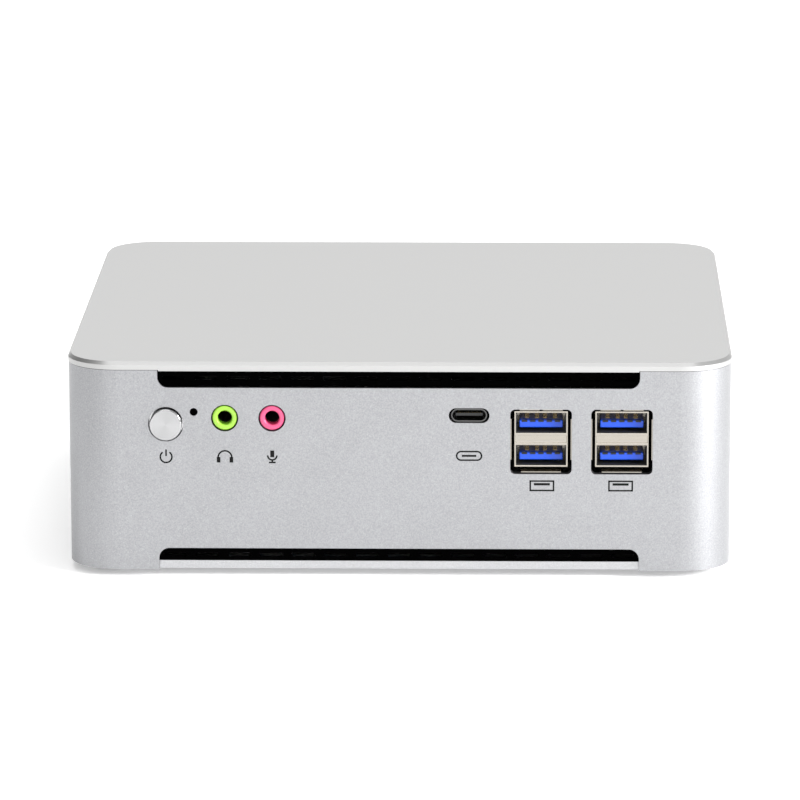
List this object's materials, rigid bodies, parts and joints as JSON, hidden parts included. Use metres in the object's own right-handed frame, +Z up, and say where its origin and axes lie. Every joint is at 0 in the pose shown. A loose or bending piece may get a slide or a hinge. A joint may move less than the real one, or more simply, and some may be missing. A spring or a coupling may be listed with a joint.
{
  "type": "desktop computer",
  "caption": "Small flat desktop computer in a silver aluminium case with vent slots, a front power button and ports, rear ports and a fan in its base.",
  "frame": {"origin": "centre of the bounding box at the level the feet stand on", "axes": "+Z up, +Y to the back, +X to the right seen from the front with the power button"},
  "size_m": [0.1662, 0.1656, 0.0551],
  "materials": {
    "frame_aluminium": "bead-blasted and anodised, silver",
    "cover_aluminium": "fine satin anodised, bright bevel",
    "button_aluminium": "turned face, bright edge",
    "sink_aluminium": "plain mill finish",
    "black_steel": "black, satin",
    "black_rubber": "matt",
    "brass": "bright",
    "plated_steel": "nickel plated",
    "board_laminate": "green lacquer",
    "black_plastic": "moulded, satin",
    "blue_plastic": "moulded",
    "green_plastic": "moulded",
    "pink_plastic": "moulded",
    "white_plastic": "moulded nylon",
    "clear_plastic": "smoked clear",
    "choke_ferrite": "pressed ferrite",
    "capacitor_can": "bright can"
  },
  "bodies": {
    "case": {"aerial_jacks": "brass", "aerial_nuts": "brass", "audio_jacks": "black_plastic", "board_screws": "plated_steel", "board_standoffs": "brass", "bottom_cover": "cover_aluminium", "capacitors": "capacitor_can", "card_posts": "brass", "card_screws": "plated_steel", "case_frame": "frame_aluminium", "cell_holder": "black_plastic", "chokes": "choke_ferrite", "coin_cell": "plated_steel", "cover_screws": "black_steel", "fan_header": "white_plastic", "fan_housing": "black_plastic", "fan_lead": "black_plastic", "fan_plug": "white_plastic", "fan_screws": "plated_steel", "front_memory_card": "board_laminate", "front_memory_socket": "black_plastic", "front_usb_shells": "plated_steel", "front_usb_tongues": "blue_plastic", "green_jack_barrel": "green_plastic", "heat_sink": "sink_aluminium", "left_aerial_lead": "black_plastic", "light_pipe": "clear_plastic", "lower_vent_screens": "black_steel", "main_board": "board_laminate", "network_jacks": "black_plastic", "pink_jack_barrel": "pink_plastic", "power_inlet": "black_plastic", "power_switch": "black_plastic", "processor": "plated_steel", "rear_memory_card": "board_laminate", "rear_memory_socket": "black_plastic", "rear_usb_shells": "plated_steel", "rear_usb_tongues": "black_plastic", "right_aerial_lead": "black_plastic", "rubber_feet": "black_rubber", "sink_backplate": "black_steel", "sink_screws": "plated_steel", "solid_state_drive": "board_laminate", "solid_state_drive_socket": "black_plastic", "top_cover": "cover_aluminium", "type_c_shell": "plated_steel", "type_c_tongue": "black_plastic", "upper_vent_screens": "black_steel", "video_port_shells": "plated_steel", "video_port_tongues": "black_plastic", "wall_mount_nuts": "plated_steel", "wireless_card": "board_laminate", "wireless_card_socket": "black_plastic"},
    "power_button": {"power_button": "button_aluminium", "switch_plunger": "black_plastic"},
    "fan_rotor": {"fan_rotor": "black_plastic"},
    "front_memory_latch_left": {"front_memory_latch_left": "plated_steel"},
    "front_memory_latch_right": {"front_memory_latch_right": "plated_steel"},
    "rear_memory_latch_left": {"rear_memory_latch_left": "plated_steel"},
    "rear_memory_latch_right": {"rear_memory_latch_right": "plated_steel"}
  },
  "joints": [
    {"name": "power_press", "type": "slide", "parent": "case", "child": "power_button", "axis": [0, 1, 0], "range_m": [0, 0.0005], "stiffness_N_per_m": 2000, "springref_m": -0.0003},
    {"name": "fan_spin", "type": "hinge", "parent": "case", "child": "fan_rotor", "pos_m": [0.043, -0.00325, 0.018], "axis": [0, 0, 1], "continuous": true},
    {"name": "front_memory_latch_left_turn", "type": "hinge", "parent": "case", "child": "front_memory_latch_left", "pos_m": [-0.0764, -0.04185, 0.0403], "axis": [0, 0, 1], "range_deg": [0, 10], "stiffness_Nm_per_rad": 0.05, "springref_deg": -2.86},
    {"name": "front_memory_latch_right_turn", "type": "hinge", "parent": "case", "child": "front_memory_latch_right", "pos_m": [-0.0056, -0.04185, 0.0403], "axis": [0, 0, -1], "range_deg": [0, 10], "stiffness_Nm_per_rad": 0.05, "springref_deg": -2.86},
    {"name": "rear_memory_latch_left_turn", "type": "hinge", "parent": "case", "child": "rear_memory_latch_left", "pos_m": [-0.0764, -0.00885, 0.0403], "axis": [0, 0, 1], "range_deg": [0, 10], "stiffness_Nm_per_rad": 0.05, "springref_deg": -2.86},
    {"name": "rear_memory_latch_right_turn", "type": "hinge", "parent": "case", "child": "rear_memory_latch_right", "pos_m": [-0.0056, -0.00885, 0.0403], "axis": [0, 0, -1], "range_deg": [0, 10], "stiffness_Nm_per_rad": 0.05, "springref_deg": -2.86}
  ]
}
